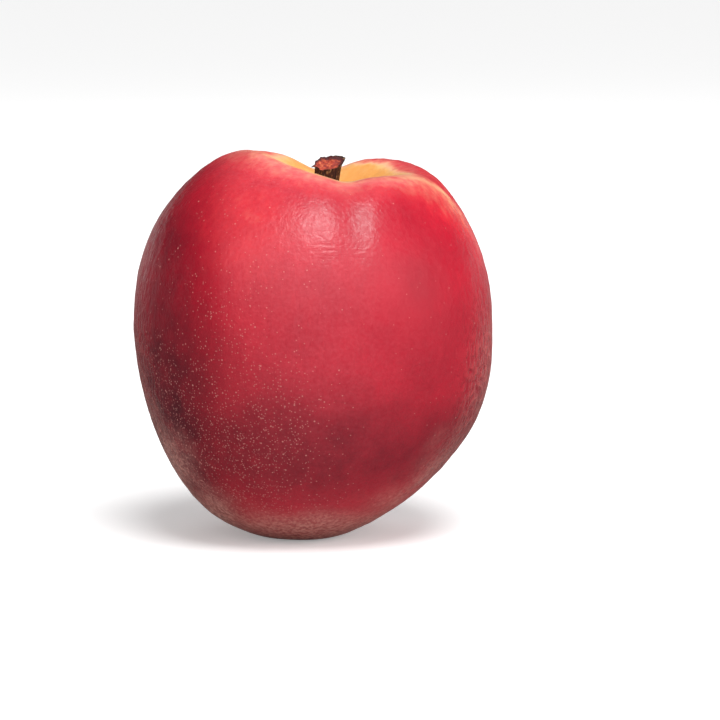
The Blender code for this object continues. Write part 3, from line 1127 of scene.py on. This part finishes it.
@dataclass
class Stalk:
    """The stub of stalk, grooved along its bark and broken off at its top."""

    place: Matrix
    finish: StalkFinish
    length: float = 7.8 * MM
    radius: float = 2.35 * MM
    flare: float = 0.2 * MM
    flare_length: float = 1.4 * MM
    grooves: int = 9
    groove_depth: float = 0.05
    break_slope: float = 0.42
    break_towards: float = math.radians(-27.0)
    break_roughness: float = 0.12 * MM
    beak_towards: float = math.radians(112.0)
    beak_spread: float = math.radians(24.0)
    beak_reach: float = 1.25 * MM
    beak_rise: float = -0.1 * MM
    chip_towards: float = math.radians(-95.0)
    chip_spread: float = math.radians(42.0)
    chip_fall: float = 0.25 * MM
    foot: float = -1.3 * MM
    bark_starts: float = 1.6 * MM
    dish: float = 0.45 * MM
    lumps: float = 0.16 * MM
    splinter_towards: float = math.radians(-84.0)
    splinter_spread: float = math.radians(5.0)
    splinter_reach: float = 0.85 * MM
    sides: int = 128
    cuts: int = 64
    insets: int = 20
    inset_reach: float = 0.92

    def build(self) -> bpy.types.Object:
        """Builds the stalk, dresses it and lets it stand in for the solid.

        Returns:
            The stalk's object.
        """
        body = bmesh.new()
        bmesh.ops.create_cone(
            body,
            cap_ends=True,
            segments=self.sides,
            radius1=1.0,
            radius2=1.0,
            depth=1.0,
            matrix=Matrix.Translation((0, 0, 0.5)),
        )
        upright = [e for e in body.edges if abs(e.verts[0].co.z - e.verts[1].co.z) > 0.5]
        bmesh.ops.subdivide_edges(body, edges=upright, cuts=self.cuts)
        top = [f for f in body.faces if f.calc_center_median().z > 0.999]
        thickness = self.inset_reach / self.insets
        for _ in range(self.insets):
            bmesh.ops.inset_region(body, faces=top, thickness=thickness, use_even_offset=True)
        bmesh.ops.triangulate(body, faces=top)
        mesh = bpy.data.meshes.new("stalk_stub")
        body.to_mesh(mesh)
        body.free()
        self.shape(mesh)
        mesh.shade_smooth()
        mesh.materials.append(self.finish.make())
        stub = in_scene("stalk_stub", mesh)
        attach(stub, "root")
        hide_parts("stalk")
        return stub

    def shape(self, mesh: bpy.types.Mesh) -> None:
        """Moves the plain column's vertices to the stalk's form and stores its marks.

        Args:
            mesh: The column's mesh, of unit radius and height.
        """
        plain = coordinates(mesh)
        share = np.hypot(plain[:, 0], plain[:, 1])
        azimuth = np.arctan2(plain[:, 0], -plain[:, 1])
        along = plain[:, 2]
        height = self.foot + (self.length - self.foot) * along
        radius = self.outline(height, azimuth) * share
        x, y = radius * np.sin(azimuth), -radius * np.cos(azimuth)
        lift = self.broken_height(x, y, azimuth, share) * along**3
        own = np.stack((x, y, height + lift), axis=1)
        top = (along > 0.999) & (share < 0.995)
        behind = 0.5 + 0.5 * np.cos(turned_from(azimuth, math.radians(150.0)))
        band = 0.08 + 0.46 * behind
        face = 0.30 + 0.70 * eased((0.99 - share) / band)
        face -= 0.34 * share * bell(turned_from(azimuth, self.beak_towards), 0.9)
        place = np.array(self.place)
        move_to(mesh, own @ place[:3, :3].T + place[:3, 3])
        store(mesh, Attribute.BROKEN, np.where(top, face, 0.0))
        along_bark = np.stack((own[:, 0], own[:, 1], own[:, 2] * 0.15), axis=1)
        across_face = np.stack((own[:, 0] * 0.3, own[:, 1], own[:, 2]), axis=1)
        grain = np.where(top[:, None], across_face, along_bark)
        store(mesh, Attribute.GRAIN, grain)

    def outline(self, height: Array, azimuth: Array) -> Array:
        """The stalk's radius.

        Args:
            height: Heights above the cavity's floor.
            azimuth: Headings round the stalk.

        Returns:
            The radius at each place.
        """
        below = self.length - height
        flare = self.flare * np.exp(-np.maximum(0.0, below) / self.flare_length)
        above_foot = np.clip((height - self.bark_starts) / (2 * MM), 0.0, 1.0)
        groove = self.groove_depth * above_foot * np.cos(self.grooves * azimuth)
        beak = self.beak_reach * bell(turned_from(azimuth, self.beak_towards), self.beak_spread)
        near_end = np.maximum(0.0, 1 - below / self.flare_length)
        splinter = bell(turned_from(azimuth, self.splinter_towards), self.splinter_spread)
        splinter *= self.splinter_reach * bell(below - 0.10 * MM, 0.15 * MM)
        ridges = 0.05 * MM * np.sin(23 * azimuth + 1.3) * above_foot
        return self.radius * (1 + groove) + flare + beak * near_end**5 + splinter + ridges

    def broken_height(self, x: Array, y: Array, azimuth: Array, share: Array) -> Array:
        """How high the broken face stands.

        Args:
            x: Places across.
            y: Places front to back.
            azimuth: Headings round the stalk.
            share: Distance from the axis, 1 at the rim.

        Returns:
            The height above a flat end.
        """
        towards = self.break_towards
        slope = self.break_slope * (x * math.sin(towards) - y * math.cos(towards))
        splinters = np.sin(3 * azimuth + 0.6) + 0.7 * np.sin(5 * azimuth + 2.1)
        beak = self.beak_rise * bell(turned_from(azimuth, self.beak_towards), self.beak_spread)
        chip = self.chip_fall * bell(turned_from(azimuth, self.chip_towards), self.chip_spread)
        dished = self.dish * (1 - share**4)
        sites = np.stack((x, y, 0 * x), axis=1)
        rough = self.lumps * clouds(sites, 0.9 * MM, 2, 5.3)
        return share * share * (self.break_roughness * splinters + beak - chip) - slope - dished + rough


class Lamp(Enum):
    """The studio's soft boxes: name, place, width, height, power, and whether gloss shows them."""

    FRONT = ("front", (0.0, -1.15, 0.72), 3.20, 1.35, 15.6, True)
    RIGHT = ("right", (1.00, -0.30, 0.32), 0.70, 0.60, 6.0, False)
    LEFT = ("left", (-0.80, 0.35, 0.10), 0.50, 0.30, 1.9, False)
    BEHIND_LEFT = ("behind_left", (-0.75, 1.20, 0.14), 0.90, 0.24, 0.45, True)
    BEHIND_TOP = ("behind_top", (0.10, 0.75, 1.05), 0.90, 0.70, 2.4, True)
    BEHIND_RIGHT = ("behind_right", (0.75, 1.10, 0.14), 0.90, 0.24, 0.45, True)


@dataclass(frozen=True)
class Studio:
    """A pale floor, soft lamps and the camera."""

    middle: tuple[float, float, float] = (1.3 * MM, -0.5 * MM, 38.7 * MM)
    aim_right: float = 9.98 * MM
    aim_down: float = 3.99 * MM
    elevation: float = math.radians(8.0)
    distance: float = 0.6
    lens: float = 153.4
    sensor: float = 36.0
    floor_size: float = 30.0
    floor_seen: Colour = (0.90, 0.90, 0.90, 1.0)
    floor_glow: float = 0.25
    floor_bounce: Colour = (0.60, 0.59, 0.58, 1.0)
    floor_mirrored: Colour = (0.12, 0.12, 0.12, 1.0)
    overhead_from: tuple[float, float, float] = (0.155, -0.42, 0.90)
    overhead_spread: float = math.radians(29.0)
    overhead_strength: float = 2.5
    surround_strength: float = 0.05

    def build(self) -> None:
        """Makes the floor, the lamps, the surroundings and the camera."""
        self.floor()
        self.overhead()
        for lamp in Lamp:
            self.lamp(lamp)
        self.surroundings()
        self.camera()

    def floor(self) -> None:
        """The plain pale floor."""
        body = bmesh.new()
        bmesh.ops.create_grid(body, x_segments=1, y_segments=1, size=self.floor_size / 2)
        bmesh.ops.translate(body, verts=body.verts, vec=(0, 0, -0.02 * MM))
        mesh = bpy.data.meshes.new("floor")
        body.to_mesh(mesh)
        body.free()
        mesh.materials.append(self.floor_finish())
        floor = in_scene("floor", mesh)

    def floor_finish(self) -> bpy.types.Material:
        """The floor's paint: pale to the eye, dimmer in what it throws back at the fruit.

        Returns:
            A new material.
        """
        material, shader = new_material("floor")
        writer = NodeWriter(material.node_tree)
        path = writer.add("ShaderNodeLightPath").outputs
        seen = path["Is Camera Ray"]
        thrown = writer.mix(path["Is Glossy Ray"], self.floor_bounce, self.floor_mirrored)
        writer.feed(shader["Base Color"], writer.mix(seen, thrown, self.floor_seen))
        writer.feed(shader["Emission Strength"], writer.times(seen, self.floor_glow))
        shader["Emission Color"].default_value = (1.0, 1.0, 1.0, 1.0)
        shader["Roughness"].default_value = 0.9
        shader["Specular IOR Level"].default_value = 0.1
        return material

    def overhead(self) -> None:
        """The wide soft light overhead, which lights the fruit and the whole floor evenly."""
        light = bpy.data.lights.new("overhead", "SUN")
        light.energy = self.overhead_strength
        light.angle = self.overhead_spread
        self.turn(in_scene("overhead", light), -Vector(self.overhead_from))

    def lamp(self, soft_box: Lamp) -> None:
        """One soft box, turned to the fruit.

        Args:
            soft_box: Which one.
        """
        name, place, width, height, power, glossy = soft_box.value
        light = bpy.data.lights.new(name, "AREA")
        light.shape = "RECTANGLE"
        light.size = width
        light.size_y = height
        light.energy = power
        lamp = in_scene(name, light)
        lamp.location = place
        lamp.visible_glossy = glossy
        self.turn(lamp, Vector(self.middle) - lamp.location)

    def turn(self, thing: bpy.types.Object, ahead: Vector) -> None:
        """Turns a lamp or the camera to face ahead."""
        thing.rotation_mode = "QUATERNION"
        thing.rotation_quaternion = ahead.to_track_quat("-Z", "Y")

    def surroundings(self) -> None:
        """A dim pale surrounding light."""
        world = bpy.data.worlds.new("studio")
        world.use_nodes = True
        background = world.node_tree.nodes["Background"]
        background.inputs["Color"].default_value = (1.0, 1.0, 1.0, 1.0)
        background.inputs["Strength"].default_value = self.surround_strength
        bpy.context.scene.world = world
        bpy.context.scene.view_settings.view_transform = "Standard"

    def camera(self) -> None:
        """The camera, in front and a little above."""
        lens = bpy.data.cameras.new("camera")
        lens.sensor_width = self.sensor
        lens.lens = self.lens
        lens.clip_start = 0.01
        lens.clip_end = 60.0
        camera = in_scene("camera", lens)
        ahead = Vector((0, math.cos(self.elevation), -math.sin(self.elevation)))
        up = Vector((1, 0, 0)).cross(ahead)
        aim = Vector(self.middle) + Vector((self.aim_right, 0, 0)) - up * self.aim_down
        camera.location = aim - ahead * self.distance
        self.turn(camera, ahead)
        bpy.context.scene.camera = camera


def main() -> None:
    """Builds the nectarine and its studio in order."""
    logging.basicConfig(level=logging.INFO, format="%(name)s: %(message)s")
    mottle_group()
    dots_group()
    form = FruitForm()
    fruit = Fruit(form, SkinRelief(), SkinFinish())
    stalk = Stalk(form.cavity_floor(), StalkFinish())
    for piece in (fruit.build(), stalk.build()):
        log.info("built %s with %d faces", piece.name, len(piece.data.polygons))
    Studio().build()


if __name__ == "__main__":
    main()
